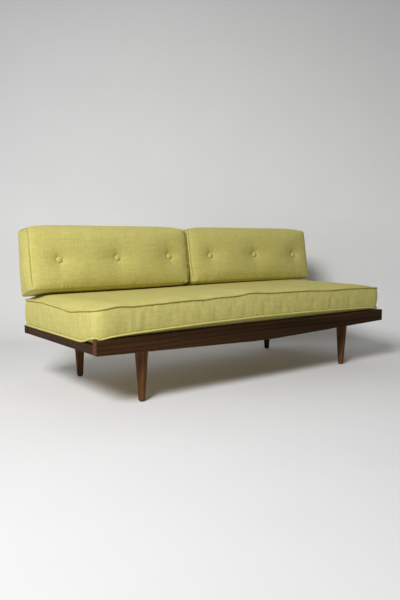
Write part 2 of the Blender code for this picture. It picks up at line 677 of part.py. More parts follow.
daybed = empty("daybed", None, (0.0, -OVERALL_MIDDLE, 0.0))
mattress_lift = empty("mattress_lift", daybed)
rear_rail_piece = build_frame(daybed, walnut)
build_deck(daybed, timber)
build_legs(daybed, walnut, zinc, nylon)
build_supports(daybed, rear_rail_piece, steel)
build_mattress(mattress_lift, fabric)
build_bolsters(mattress_lift, fabric)
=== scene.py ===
from math import atan2, copysign, cos, exp, hypot, pi, radians, sin, sqrt, tanh, tau

import bmesh
import bpy
import numpy as np
from mathutils import Matrix, Vector, noise
from mathutils.kdtree import KDTree


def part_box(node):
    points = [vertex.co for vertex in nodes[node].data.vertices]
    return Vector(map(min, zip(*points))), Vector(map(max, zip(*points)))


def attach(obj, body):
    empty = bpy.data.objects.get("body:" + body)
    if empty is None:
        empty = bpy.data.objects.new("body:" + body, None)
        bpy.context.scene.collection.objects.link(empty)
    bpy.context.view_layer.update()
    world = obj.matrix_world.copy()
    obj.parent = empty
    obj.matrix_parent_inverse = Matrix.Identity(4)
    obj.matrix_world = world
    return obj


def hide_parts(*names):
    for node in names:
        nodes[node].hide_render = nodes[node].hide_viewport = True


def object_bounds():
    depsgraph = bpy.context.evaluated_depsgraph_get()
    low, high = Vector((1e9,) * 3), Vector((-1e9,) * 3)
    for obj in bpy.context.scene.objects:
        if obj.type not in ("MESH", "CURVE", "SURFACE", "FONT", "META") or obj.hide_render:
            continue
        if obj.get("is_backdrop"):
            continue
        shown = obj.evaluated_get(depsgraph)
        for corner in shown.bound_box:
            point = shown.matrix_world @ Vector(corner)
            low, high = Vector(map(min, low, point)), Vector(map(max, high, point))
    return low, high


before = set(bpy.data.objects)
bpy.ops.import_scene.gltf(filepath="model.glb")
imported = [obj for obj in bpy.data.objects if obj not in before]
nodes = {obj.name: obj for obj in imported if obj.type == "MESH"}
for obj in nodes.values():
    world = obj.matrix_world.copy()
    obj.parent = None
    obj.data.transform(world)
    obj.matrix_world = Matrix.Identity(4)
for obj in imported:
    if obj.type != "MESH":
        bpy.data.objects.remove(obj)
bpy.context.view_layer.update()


# ---- Rails ------------------------------------------------------------------------------------
# Four boards of dark walnut, planed, butted and glued into an open frame, their edges just eased.
# The front rail stands above the others as a lip and swells to a soft point along its lower edge.
# They are stained, oiled and rubbed to a satin, and the front rail shows its end grain at the ends.

def add(tree, kind, inputs=None, **settings):
    """One more shader node: its settings, and its inputs as values or as links."""
    item = tree.nodes.new("ShaderNode" + kind)
    for key, value in settings.items():
        setattr(item, key, value)
    for key, value in (inputs or {}).items():
        if isinstance(value, bpy.types.NodeSocket):
            tree.links.new(value, item.inputs[key])
        else:
            item.inputs[key].default_value = value
    return item


def maths(tree, operation, first, second=0.0):
    """One sum on two values or links."""
    return add(tree, "Math", {0: first, 1: second}, operation=operation).outputs[0]


def plus(tree, first, second):
    """Two levels added."""
    return maths(tree, "ADD", first, second)


def times(tree, first, second):
    """Two levels multiplied."""
    return maths(tree, "MULTIPLY", first, second)


def mottle(tree, place, scale, detail, **more):
    """A cloudy level at this scale."""
    inputs = {"Vector": place, "Scale": scale, "Detail": detail, **more}
    return add(tree, "TexNoise", inputs).outputs["Fac"]


def shades(tree, level, stops):
    """A colour for each level, from (place, colour) pairs."""
    ramp = add(tree, "ValToRGB", {"Fac": level})
    marks = ramp.color_ramp.elements
    while len(marks) < len(stops):
        marks.new(0.5)
    for mark, (place, colour) in zip(marks, stops):
        mark.position = place
        mark.color = (*colour, 1.0)
    return ramp.outputs["Color"]


def tinted(tree, share, below, above, way="MIX"):
    """Two colours mixed, or one laid over the other."""
    mixed = add(tree, "Mix", {0: share, 6: below, 7: above}, data_type="RGBA", blend_type=way)
    return mixed.outputs[2]


def spread(tree, level, low, high, start=0.0, end=1.0):
    """A level from start to end carried over to low..high, and held there past both."""
    inputs = {"Value": level, "From Min": start, "From Max": end, "To Min": low, "To Max": high}
    return add(tree, "MapRange", inputs).outputs["Result"]


def edges(tree, radius, start, end):
    """1 on the edges of a piece, within this radius, and 0 on its faces."""
    soft = add(tree, "Bevel", {"Radius": radius}, samples=4).outputs["Normal"]
    flat = add(tree, "NewGeometry").outputs["Normal"]
    turn = add(tree, "VectorMath", {0: soft, 1: flat}, operation="DOT_PRODUCT").outputs["Value"]
    return spread(tree, turn, 0.0, 1.0, start, end)


def relief(tree, shader, height, strength, distance):
    """A fine relief on the shader."""
    bump = add(tree, "Bump", {"Height": height, "Strength": strength, "Distance": distance})
    tree.links.new(bump.outputs[0], shader.inputs["Normal"])


def finish(name, **values):
    """A fresh Principled finish, with the values that are the same all over set on the shader."""
    made = bpy.data.materials.new(name)
    made.use_nodes = True
    shader = made.node_tree.nodes["Principled BSDF"]
    for key, value in values.items():
        shader.inputs[key.replace("_", " ")].default_value = value
    return made, made.node_tree, shader


def oiled_wood(name, grain, tones, end_tones, seed, rough=(0.34, 0.52), turned=False):
    """Wood with its grain along axis 0, 1 or 2, drawn out figure, fine pores, and end grain."""
    made, tree, shader = finish(name, Specular_IOR_Level=0.05)
    place = add(tree, "TexCoord")
    stretch = [1.0, 1.0, 1.0]
    stretch[grain] = 0.07
    moved = [seed * 0.37, seed * 0.71, seed * 0.53]
    drawn = add(tree, "Mapping",
                {"Vector": place.outputs["Object"], "Location": moved, "Scale": stretch}).outputs[0]

    figure = mottle(tree, drawn, 11.0, 3.0, Distortion=0.5)
    across = "XYZ"[(grain + 1) % 3] if grain != 0 else "Z"
    rings = add(tree, "TexWave",
                {"Vector": drawn, "Scale": 16.0, "Distortion": 5.0, "Detail": 3.0, "Detail Scale": 1.1},
                wave_type="BANDS", bands_direction=across).outputs["Fac"]
    fibres = mottle(tree, drawn, 330.0, 3.0, Roughness=0.62)
    pores = mottle(tree, drawn, 900.0, 1.0)
    pit = spread(tree, pores, 0.0, 1.0, 0.60, 0.70)

    level = plus(tree, times(tree, figure, 0.62), times(tree, rings, 0.12))
    level = plus(tree, level, times(tree, fibres, 0.26))
    face = shades(tree, level, list(zip((0.30, 0.44, 0.56, 0.72), tones)))
    face = tinted(tree, times(tree, pit, 0.55), face, (*tones[0], 1.0))

    # End grain: the same years as close arcs and specks, where the face looks along the grain.
    arcs = add(tree, "TexWave",
               {"Vector": place.outputs["Object"], "Scale": 75.0, "Distortion": 2.2, "Detail": 2.0},
               wave_type="RINGS", rings_direction="XYZ"[grain]).outputs["Fac"]
    specks = mottle(tree, place.outputs["Object"], 900.0, 2.0)
    end_level = plus(tree, times(tree, arcs, 0.45), times(tree, specks, 0.55))
    end = shades(tree, end_level, list(zip((0.30, 0.50, 0.72), end_tones)))
    facing = add(tree, "SeparateXYZ", {0: place.outputs["Normal"]}).outputs[grain]
    is_end = spread(tree, maths(tree, "ABSOLUTE", facing), 0.0, 1.0, 0.80, 0.93)
    colour = tinted(tree, is_end, face, end)

    # Handling rubs the edges a little paler and smoother.
    rubbed = times(tree, edges(tree, 0.0022, 0.995, 0.90), spread(tree, figure, 0.15, 0.65))
    colour = tinted(tree, rubbed, colour, (*tones[3], 1.0))
    tree.links.new(colour, shader.inputs["Base Color"])

    smear = mottle(tree, place.outputs["Object"], 14.0, 2.0)
    gloss = spread(tree, plus(tree, times(tree, smear, 0.6),
                               times(tree, fibres, 0.4)), *rough)
    gloss = plus(tree, gloss, times(tree, pit, 0.18))
    tree.links.new(gloss, shader.inputs["Roughness"])

    height = maths(tree, "SUBTRACT", times(tree, fibres, 0.5), times(tree, pit, 0.8))
    if turned:
        tool = add(tree, "TexWave",
                   {"Vector": place.outputs["Object"], "Scale": 110.0, "Distortion": 0.6},
                   wave_type="BANDS", bands_direction="Z").outputs["Fac"]
        height = plus(tree, height, times(tree, tool, 0.12))
    relief(tree, shader, height, 0.35, 0.00035)
    return made


def dress(node, material):
    """Gives a CAD node its finish."""
    piece = nodes[node]
    piece.data.materials.clear()
    piece.data.materials.append(material)


walnut_tones = ((0.017, 0.0076, 0.0030), (0.032, 0.0148, 0.0056),
                (0.047, 0.0220, 0.0085), (0.080, 0.038, 0.0150))
walnut_ends = ((0.045, 0.016, 0.006), (0.115, 0.042, 0.0150), (0.185, 0.070, 0.025))
for count, rail in enumerate(("front_rail", "rear_rail", "left_end_rail", "right_end_rail")):
    grain = 1 if rail.endswith("end_rail") else 0
    ends = walnut_ends if rail == "front_rail" else walnut_tones[1:]
    dress(rail, oiled_wood("walnut_" + rail, grain, walnut_tones, ends, 3.0 + count))


# ---- Deck -------------------------------------------------------------------------------------
# Eleven sawn beech slats lie across the frame on a ledger along each long rail, one screw through
# each end. Two cross bearers below them carry the legs, and a glued and screwed corner block
# holds each corner square.

beech_tones = ((0.36, 0.235, 0.13), (0.50, 0.35, 0.205), (0.60, 0.43, 0.26), (0.68, 0.51, 0.33))
beech_ends = ((0.30, 0.18, 0.095), (0.42, 0.28, 0.155), (0.54, 0.38, 0.225))
along_x = ["front_ledger", "rear_ledger"]
along_y = [name for name in nodes if name.startswith("slat_")] + ["left_leg_bearer", "right_leg_bearer"]
blocks = [name for name in nodes if name.startswith("corner_block_")]
for group, grain in ((along_x, 0), (along_y, 1), (blocks, 0)):
    for count, name in enumerate(sorted(group)):
        beech = oiled_wood("beech_" + name, grain, beech_tones, beech_ends, 11.0 + 1.7 * count + grain,
                           rough=(0.50, 0.68))
        dress(name, beech)


def plated_steel():
    """Zinc plate: pale, a little mottled, with fine drawing marks."""
    made, tree, shader = finish("zinc_plate", Metallic=1.0)
    place = add(tree, "TexCoord").outputs["Object"]
    spangle = add(tree, "TexVoronoi", {"Vector": place, "Scale": 240.0}).outputs["Color"]
    level = add(tree, "SeparateColor", {0: spangle}).outputs[0]
    haze = mottle(tree, place, 60.0, 4.0)
    both = plus(tree, times(tree, level, 0.35), times(tree, haze, 0.65))
    greys = [(0.25, (0.42, 0.42, 0.40)), (0.55, (0.60, 0.60, 0.585)), (0.8, (0.72, 0.72, 0.71))]
    colour = shades(tree, both, greys)
    tree.links.new(colour, shader.inputs["Base Color"])
    tree.links.new(spread(tree, both, 0.28, 0.52), shader.inputs["Roughness"])
    relief(tree, shader, haze, 0.2, 0.0002)
    return made


zinc = plated_steel()
SCREW_FACETS = 20


def as_mesh(name, bm):
    """The mesh built so far, under this name, with all its faces turned outwards."""
    bmesh.ops.recalc_face_normals(bm, faces=bm.faces)
    mesh = bpy.data.meshes.new(name)
    bm.to_mesh(mesh)
    bm.free()
    return mesh


def set_down(name, data):
    """A new object in the scene."""
    item = bpy.data.objects.new(name, data)
    bpy.context.scene.collection.objects.link(item)
    return item


def cross_headed_screw(radius, height, slot_depth):
    """A screw head with a domed rim and a cross-shaped recess, its seat at z = 0."""
    bm = bmesh.new()
    arm, half = radius * 0.62, radius * 0.17
    cross = [(arm, -half), (arm, half), (half, half), (half, arm), (-half, arm), (-half, half)]
    cross += [(-x, -y) for x, y in cross]
    rings = []
    for share, rise in ((1.0, 0.0), (1.0, 0.35), (0.93, 0.72), (0.80, 1.0)):
        ring = []
        for count in range(SCREW_FACETS):
            turn = tau * count / SCREW_FACETS
            spot = (radius * share * cos(turn), radius * share * sin(turn), height * rise)
            ring.append(bm.verts.new(spot))
        rings.append(ring)
    for low, high in zip(rings, rings[1:]):
        for count in range(SCREW_FACETS):
            after = (count + 1) % SCREW_FACETS
            bm.faces.new((low[count], low[after], high[after], high[count]))
    bm.faces.new(list(reversed(rings[0])))
    mouth = [bm.verts.new((x, y, height)) for x, y in cross]
    floor = [bm.verts.new((x * 0.8, y * 0.8, height - slot_depth)) for x, y in cross]
    for count in range(len(cross)):
        after = (count + 1) % len(cross)
        bm.faces.new((mouth[count], mouth[after], floor[after], floor[count]))
    bm.faces.new(floor)
    rim = [bm.edges.get((a, b)) for a, b in zip(rings[-1], rings[-1][1:] + rings[-1][:1])]
    lip = [bm.edges.get((a, b)) for a, b in zip(mouth, mouth[1:] + mouth[:1])]
    bmesh.ops.triangle_fill(bm, use_beauty=True, edges=rim + lip, normal=(0.0, 0.0, 1.0))
    mesh = as_mesh("screw_head", bm)
    mesh.materials.append(zinc)
    return mesh


def set_screws(name, spots, mesh, up, body):
    """Screw heads at spots, turned so that their tops face up (+1) or down (-1), as one piece each."""
    for count, spot in enumerate(spots, 1):
        screw = set_down(f"{name}_{count:02d}", mesh)
        turn = Matrix.Rotation(0.7 * count, 4, "Z")
        if up < 0:
            turn = Matrix.Rotation(pi, 4, "X") @ turn
        screw.matrix_world = Matrix.Translation(spot) @ turn
        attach(screw, body)


slat_screw = cross_headed_screw(0.0040, 0.0008, 0.0006)
spots = []
for name in sorted(nodes):
    if name.startswith("slat_"):
        low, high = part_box(name)
        for edge in (low.y + 0.012, high.y - 0.012):
            spots.append(((low.x + high.x) / 2, edge, high.z))
set_screws("slat_screw", spots, slat_screw, 1, "frame")

block_screw = cross_headed_screw(0.0045, 0.0010, 0.0008)
spots = []
for name in blocks:
    low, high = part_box(name)
    inwards_x = -1 if low.x > 0 else 1
    inwards_y = -1 if (low.y + high.y) > 0 else 1
    outer = Vector((low.x if inwards_x > 0 else high.x, low.y if inwards_y > 0 else high.y, low.z))
    for reach_x, reach_y in ((0.012, 0.034), (0.034, 0.012)):
        spots.append(outer + Vector((inwards_x * reach_x, inwards_y * reach_y, 0.0)))
set_screws("block_screw", spots, block_screw, -1, "frame")


# ---- Legs -------------------------------------------------------------------------------------
# Four turned and tapered legs of solid walnut, each on a hanger bolt through a zinc plated plate
# that is screwed under the bearer. A moulded glide is pinned into each foot.

# Each leg's walnut is scaled paler than the rails' by its own factor, palest at the front left and darkest at
# the rear right. The spread between the legs is painted light, following the key light at the front left.
LEG_TONE_AND_PAINTED_LIGHT = {"front_left": 3.9, "front_right": 2.1, "rear_left": 1.9, "rear_right": 1.4}


def moulded(name, colour, rough):
    """Moulded nylon: a fine moulding texture and scuffs."""
    made, tree, shader = finish(name)
    place = add(tree, "TexCoord").outputs["Object"]
    texture = mottle(tree, place, 1400.0, 2.0)
    scuffs = mottle(tree, place, 90.0, 5.0)
    paler = tuple(min(1.0, part * 2.2) for part in colour)
    tree.links.new(shades(tree, scuffs, [(0.45, colour), (0.75, paler)]), shader.inputs["Base Color"])
    tree.links.new(spread(tree, scuffs, rough - 0.12, rough + 0.12), shader.inputs["Roughness"])
    relief(tree, shader, texture, 0.25, 0.0002)
    return made


black_nylon = moulded("black_nylon", (0.022, 0.020, 0.018), 0.5)
plate_screw = cross_headed_screw(0.0046, 0.0022, 0.0014)
PLATE_SCREW_INSET = 0.011
corners = [f"{end}_{side}" for end in ("front", "rear") for side in ("left", "right")]
spots = []
for count, corner in enumerate(corners):
    leg_tones = [[LEG_TONE_AND_PAINTED_LIGHT[corner] * part for part in tone] for tone in walnut_tones]
    walnut = oiled_wood("walnut_leg_" + corner, 2, leg_tones, walnut_ends, 21.0 + 2.3 * count, turned=True)
    dress("leg_" + corner, walnut)
    dress("leg_plate_" + corner, zinc)
    dress("leg_bolt_" + corner, zinc)
    dress("glide_" + corner, black_nylon)
    low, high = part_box("leg_plate_" + corner)
    for x in (low.x + PLATE_SCREW_INSET, high.x - PLATE_SCREW_INSET):
        for y in (low.y + PLATE_SCREW_INSET, high.y - PLATE_SCREW_INSET):
            spots.append((x, y, low.z))
set_screws("plate_screw", spots, plate_screw, -1, "frame")


# ---- Back supports ----------------------------------------------------------------------------
# Four flat steel bars, bent back at seat height and sprayed satin black, that the bolsters lean on.
# Each is held to the rear rail by two hexagon-headed wood screws.

def sprayed_steel():
    """Satin black spray with orange peel, worn to the metal on its edges."""
    made, tree, shader = finish("black_spray")
    place = add(tree, "TexCoord").outputs["Object"]
    peel = mottle(tree, place, 420.0, 1.0)
    dust = mottle(tree, place, 30.0, 5.0)
    worn = times(tree, edges(tree, 0.0015, 0.985, 0.85), spread(tree, dust, -0.3, 1.2))
    worn = add(tree, "Clamp", {"Value": worn}).outputs[0]
    black = shades(tree, dust, [(0.3, (0.016, 0.016, 0.017)), (0.7, (0.030, 0.030, 0.031))])
    tree.links.new(tinted(tree, worn, black, (0.28, 0.275, 0.265, 1.0)), shader.inputs["Base Color"])
    tree.links.new(worn, shader.inputs["Metallic"])
    tree.links.new(spread(tree, dust, 0.36, 0.50), shader.inputs["Roughness"])
    relief(tree, shader, peel, 0.18, 0.0003)
    return made


black_spray = sprayed_steel()
for name in nodes:
    if name.startswith("back_support_"):
        dress(name, black_spray)
    if name.startswith("support_screw_"):
        dress(name, zinc)


# ---- Mattress ---------------------------------------------------------------------------------
# A foam mattress in a boxed cover: a top and a bottom panel joined by a straight strip, the boxing,
# with a welt cord sewn into both seams. The strip is pieced with an upright seam by a corner.
# It lies on the slats, and its front edge rides up on the front rail and arches over it.

front_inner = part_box("front_rail")[1].y
rear_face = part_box("rear_rail")[1].y
frame_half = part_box("front_rail")[1].x
lip_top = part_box("front_rail")[1].z
deck_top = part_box("rear_rail")[1].z

MATTRESS_CLEAR = 0.0008
MATTRESS_HALF = frame_half - 0.0075
mattress_front = front_inner - 0.017
mattress_rear = rear_face - 0.0095
mattress_half_y = (mattress_rear - mattress_front) / 2
mattress_middle_y = (mattress_rear + mattress_front) / 2
FRONT_CORNER = 0.042
REAR_CORNER = 0.009
BOXING_HEIGHT = 0.1165
WELT_RADIUS = 0.0046
FABRIC_CELL = 0.0145


def lime_linen(name, tint=1.0):
    """A plain weave of heathered lime, straw and beige yarns with thick and thin places in them.
    It reads the fabric's own directions from the mesh: warp in metres, weft in metres."""
    made, tree, shader = finish(name, Sheen_Weight=0.11, Sheen_Roughness=0.40, Specular_IOR_Level=0.10)
    shader.inputs["Sheen Tint"].default_value = (1.0, 0.97, 0.84, 1.0)
    lie = add(tree, "Attribute", attribute_name="weave").outputs["Vector"]
    part = add(tree, "SeparateXYZ", {0: lie})
    threads = 820.0
    warp = times(tree, part.outputs["X"], threads)
    weft = times(tree, part.outputs["Y"], threads)
    wave_a = maths(tree, "SINE", times(tree, warp, pi))
    wave_b = maths(tree, "SINE", times(tree, weft, pi))
    over = times(tree, wave_a, wave_b)
    crossing = spread(tree, over, 0.0, 1.0, -0.25, 0.25)

    def yarn(number, along, shift):
        """How dark a yarn is along its own length."""
        spot = add(tree, "CombineXYZ",
                   {0: times(tree, along, 26.0),
                    1: times(tree, maths(tree, "FLOOR", number), 7.31), 2: shift}).outputs[0]
        return mottle(tree, spot, 1.0, 2.0)

    warp_yarn = yarn(warp, part.outputs["Y"], 3.1)
    weft_yarn = yarn(weft, part.outputs["X"], 8.7)

    def dyed(level, *colours):
        """The yarn's lime, straw and beige, from its darkest places to its palest."""
        tones = [tuple(part * tint for part in colour) for colour in colours]
        return shades(tree, level, list(zip((0.30, 0.50, 0.68), tones)))

    warp_colour = dyed(warp_yarn, (0.46, 0.425, 0.105), (0.605, 0.555, 0.165), (0.72, 0.64, 0.26))
    weft_colour = dyed(weft_yarn, (0.43, 0.40, 0.085), (0.57, 0.52, 0.145), (0.69, 0.59, 0.24))
    colour = tinted(tree, crossing, weft_colour, warp_colour)

    # Slubs gather in bands along the weft, and the dye lies a little unevenly.
    band = add(tree, "Mapping", {"Vector": lie, "Scale": (5.0, 150.0, 1.0)}).outputs[0]
    bands = mottle(tree, band, 1.0, 3.0)
    post = add(tree, "Mapping", {"Vector": lie, "Scale": (120.0, 7.0, 1.0)}).outputs[0]
    posts = mottle(tree, post, 1.0, 2.0)
    cloud = mottle(tree, lie, 13.0, 4.0)
    lift = plus(tree, spread(tree, bands, -0.09, 0.09), spread(tree, posts, -0.05, 0.05))
    lift = plus(tree, plus(tree, lift, 1.0), spread(tree, cloud, -0.03, 0.03))
    grey = add(tree, "CombineColor", {0: lift, 1: lift, 2: lift}).outputs[0]
    colour = tinted(tree, 1.0, colour, grey, "MULTIPLY")
    blush = spread(tree, cloud, 0.0, 0.13, 0.46, 0.66)
    colour = tinted(tree, blush, colour, (0.62 * tint, 0.49 * tint, 0.25 * tint, 1.0))
    # Painted shade: the painted_shade attribute darkens the linen towards a deep olive in the seam grooves,
    # under the welts, on the welts' sunk and lower sides and round the buttons' rims.
    painted_shade = add(tree, "Attribute", attribute_name="painted_shade").outputs["Fac"]
    colour = tinted(tree, times(tree, painted_shade, 0.74), colour, (0.165, 0.138, 0.028, 1.0))
    tree.links.new(colour, shader.inputs["Base Color"])

    tree.links.new(spread(tree, warp_yarn, 0.82, 0.96), shader.inputs["Roughness"])
    height = plus(tree, times(tree, maths(tree, "ABSOLUTE", over), 0.6),
                   times(tree, plus(tree, warp_yarn, weft_yarn), 0.5))
    height = plus(tree, height, times(tree, bands, 0.7))
    relief(tree, shader, height, 0.45, 0.0005)
    return made


linen = lime_linen("lime_linen")
# The bottom welt's linen is the same yarns made 10% paler: a painted highlight for the light the cord
# catches.
painted_highlight_linen = lime_linen("lime_linen_painted_highlight", tint=1.10)


def rows(length, cell, extra=()):
    """Places from -1 to 1 along a panel, close together by its two seams and at the extra places."""
    near = (0.0, 0.0035, 0.008, 0.014, 0.022, 0.032)
    inner = length - 2 * near[-1]
    count = max(1, round(inner / cell))
    places = list(near)
    places += [near[-1] + inner * step / count for step in range(1, count)]
    places += [length - near_seam for near_seam in reversed(near)]
    for spot in extra:
        places = [place for place in places if abs(place - spot) > 0.003]
        places.append(spot)
    places = [2 * place / length - 1 for place in sorted(places)]
    places[0], places[-1] = -1.0, 1.0
    return places


def round_corner(x, y, half_x, half_y, radius):
    """Moves a point of a rectangle onto the same rectangle with round corners."""
    over_x = abs(x) - (half_x - radius)
    over_y = abs(y) - (half_y - radius)
    if over_x <= 0 or over_y <= 0:
        return x, y
    shrink = max(over_x, over_y) / hypot(over_x, over_y)
    return (copysign(half_x - radius + over_x * shrink, x),
            copysign(half_y - radius + over_y * shrink, y))


def swell(a, b, power=4):
    """How far a stuffed panel stands out: 1 in its middle, 0 at its seams."""
    return (1 - abs(a) ** power) * (1 - abs(b) ** power)


def sewn_skin(name, places, shape, seams, holds):
    """A closed cover over the six sides of a block. places are the rows along its three directions,
    shape() puts each point, seams() says which edges are sewn, and holds() how firmly a point is held."""
    bm = bmesh.new()
    points = {}
    held = {}

    def point(step):
        if step not in points:
            spot = tuple(places[axis][step[axis]] for axis in range(3))
            points[step] = bm.verts.new(shape(*spot))
            held[step] = (len(held), holds(*spot))
        return points[step]

    last = [len(row) - 1 for row in places]
    for axis in range(3):
        first, second = [other for other in range(3) if other != axis]
        for side in (0, last[axis]):
            for i in range(last[first]):
                for j in range(last[second]):
                    loop = []
                    for di, dj in ((0, 0), (1, 0), (1, 1), (0, 1)):
                        step = [side, side, side]
                        step[first] = i + di
                        step[second] = j + dj
                        loop.append(point(tuple(step)))
                    bm.faces.new(loop)
    where = {}
    for step, vertex in points.items():
        where[vertex] = tuple(places[axis][step[axis]] for axis in range(3))
    firm = bm.edges.layers.float.new("crease_edge")
    for edge in bm.edges:
        edge.seam = seams(where[edge.verts[0]], where[edge.verts[1]])
        edge[firm] = 1.0 if edge.seam else 0.0
    piece = set_down(name, as_mesh(name, bm))
    group = piece.vertex_groups.new(name="held")
    for index, weight in held.values():
        if weight > 0:
            group.add([index], weight, "REPLACE")
    return piece


STUFFING_PRESSURE = 4.0
STUFFING_FRAMES = 20


def spots_of(mesh):
    """Where the vertices of a mesh are, a row for each."""
    spots = np.empty(len(mesh.vertices) * 3)
    mesh.vertices.foreach_get("co", spots)
    return spots.reshape(-1, 3)


def stuff(piece, looseness, cap):
    """Fills the cover: Cloth with pressure and a little spare fabric, no gravity, its seams held.
    No vertex ends further than cap from where it began."""
    scene = bpy.context.scene
    scene.frame_start, scene.frame_end = 1, STUFFING_FRAMES
    cloth = piece.modifiers.new("stuffing", "CLOTH")
    cloth.point_cache.frame_start, cloth.point_cache.frame_end = 1, STUFFING_FRAMES
    settings = cloth.settings
    settings.quality = 6
    settings.mass = 0.25
    settings.air_damping = 2.0
    settings.tension_stiffness = settings.compression_stiffness = 22.0
    settings.shear_stiffness = 8.0
    settings.bending_stiffness = 0.8
    settings.use_pressure = True
    settings.uniform_pressure_force = STUFFING_PRESSURE
    settings.shrink_min = settings.shrink_max = -looseness
    settings.vertex_group_mass = "held"
    settings.effector_weights.gravity = 0.0
    start = spots_of(piece.data)
    for moment in range(1, STUFFING_FRAMES + 1):
        scene.frame_set(moment)
        full = spots_of(piece.evaluated_get(bpy.context.evaluated_depsgraph_get()).data)
    scene.frame_set(1)
    piece.modifiers.remove(cloth)
    move = full - start
    reach = np.linalg.norm(move, axis=1)
    limit = cap * np.tanh(reach / cap) / np.maximum(reach, 1e-9)
    piece.data.vertices.foreach_set("co", (start + move * limit[:, None]).ravel())
    piece.data.update()


def seam_runs(mesh):
    """The sewn edges as runs of points. Where seams meet, a run goes straight on or ends."""
    ties = {}
    for edge in mesh.edges:
        if edge.use_seam:
            a, b = edge.vertices
            ties.setdefault(a, []).append(b)
            ties.setdefault(b, []).append(a)
    done = set()
    runs = []
    for start in sorted(ties, key=lambda index: (len(ties[index]) == 2, index)):
        for step in ties[start]:
            if (start, step) in done:
                continue
            run = [start, step]
            done |= {(start, step), (step, start)}
            while run[-1] != start:
                here = mesh.vertices[run[-1]].co
                way = (here - mesh.vertices[run[-2]].co).normalized()
                turns = [((mesh.vertices[near].co - here).normalized().dot(way), near)
                         for near in ties[run[-1]] if (run[-1], near) not in done]
                if not turns or max(turns)[0] < 0.2:
                    break
                after = max(turns)[1]
                done |= {(run[-1], after), (after, run[-1])}
                run.append(after)
            runs.append(run)
    return runs


PUCKER_REACH = 0.045


def sew(piece, fold, depth=0.0032, width=0.0034, pucker=0.0009, seed=0.0):
    """One subdivision, then the seams are drawn in, with small puckers across them, and painted shade is laid
    along them.
    fold() says how much painted shade and how deep a groove a seam gets, from a spot and the nearest place on
    the seam.
    Returns the runs of the seams as they stood before they were drawn in, as (points, outward directions)."""
    finer = piece.modifiers.new("finer", "SUBSURF")
    finer.levels = finer.render_levels = 1
    graph = bpy.context.evaluated_depsgraph_get()
    mesh = bpy.data.meshes.new_from_object(piece.evaluated_get(graph))
    piece.modifiers.remove(finer)
    old = piece.data
    piece.data = mesh
    bpy.data.meshes.remove(old)
    mesh.name = piece.name
    piece.vertex_groups.clear()

    runs = []
    marks = []
    for run in seam_runs(mesh):
        points = [mesh.vertices[index].co.copy() for index in run]
        outward = [Vector(mesh.vertex_normals[index].vector) for index in run]
        runs.append((points, outward))
        along = 0.0
        for before, after in zip(points, points[1:]):
            gap = (after - before).length
            count = max(1, round(gap / 0.002))
            for step in range(count):
                marks.append((before.lerp(after, step / count), along + gap * step / count, len(runs)))
            along += gap
    tree = KDTree(len(marks))
    for index, (spot, _, _) in enumerate(marks):
        tree.insert(spot, index)
    tree.balance()

    spots = spots_of(mesh)
    ways = np.empty(spots.size)
    mesh.vertex_normals.foreach_get("vector", ways)
    ways = ways.reshape(-1, 3)
    shade = np.zeros(len(spots))
    for index, spot in enumerate(spots):
        seam, mark, gap = tree.find(spot)
        if gap > PUCKER_REACH:
            continue
        _, along, run = marks[mark]
        groove = exp(-(gap / width) ** 2)
        drift = noise.noise((along * 9.0, run * 3.7, seed))
        beat = noise.noise((along * 46.0, run * 5.1 + seed, 0.4))
        beat += 0.5 * noise.noise((along * 95.0, seed, run * 1.3))
        far = gap / 0.011
        ripple = pucker * (1.0 + 1.2 * drift) * beat * far * exp(1.0 - far)
        # dark is how much painted shade the seam lays along its groove.
        dark, deep = fold(spot, seam)
        spots[index] = spot + ways[index] * (ripple - depth * deep * groove)
        shade[index] = dark * groove
    mesh.vertices.foreach_set("co", spots.ravel())
    mesh.attributes.new("painted_shade", "FLOAT", "POINT").data.foreach_set("value", shade)
    mesh.update()
    return runs


def lay_weave(mesh):
    """Writes which way the fabric lies: metres along and across it, by the side a face looks to."""
    lie = mesh.attributes.new("weave", "FLOAT_VECTOR", "CORNER")
    values = np.zeros((len(mesh.loops), 3))
    spots = spots_of(mesh)
    for face in mesh.polygons:
        side = max(range(3), key=lambda axis: abs(face.normal[axis]) * (1.0, 1.0, 1.05)[axis])
        first, second = ((1, 2), (0, 2), (0, 1))[side]
        for loop in face.loop_indices:
            spot = spots[mesh.loops[loop].vertex_index]
            values[loop] = (spot[first] + 3.0 * side, spot[second], 0.0)
    lie.data.foreach_set("vector", values.ravel())
    mesh.shade_smooth()


def even(points, outward, step):
    """The same run with its points an even distance apart."""
    spots = np.array(points)
    ways = np.array(outward)
    gaps = np.linalg.norm(np.diff(spots, axis=0), axis=1)
    along = np.concatenate(([0.0], np.cumsum(gaps)))
    count = max(8, round(along[-1] / step))
    places = np.linspace(0.0, along[-1], count + 1)
    new_spots = np.stack([np.interp(places, along, spots[:, axis]) for axis in range(3)], axis=1)
    new_ways = np.stack([np.interp(places, along, ways[:, axis]) for axis in range(3)], axis=1)
    return new_spots, new_ways, places


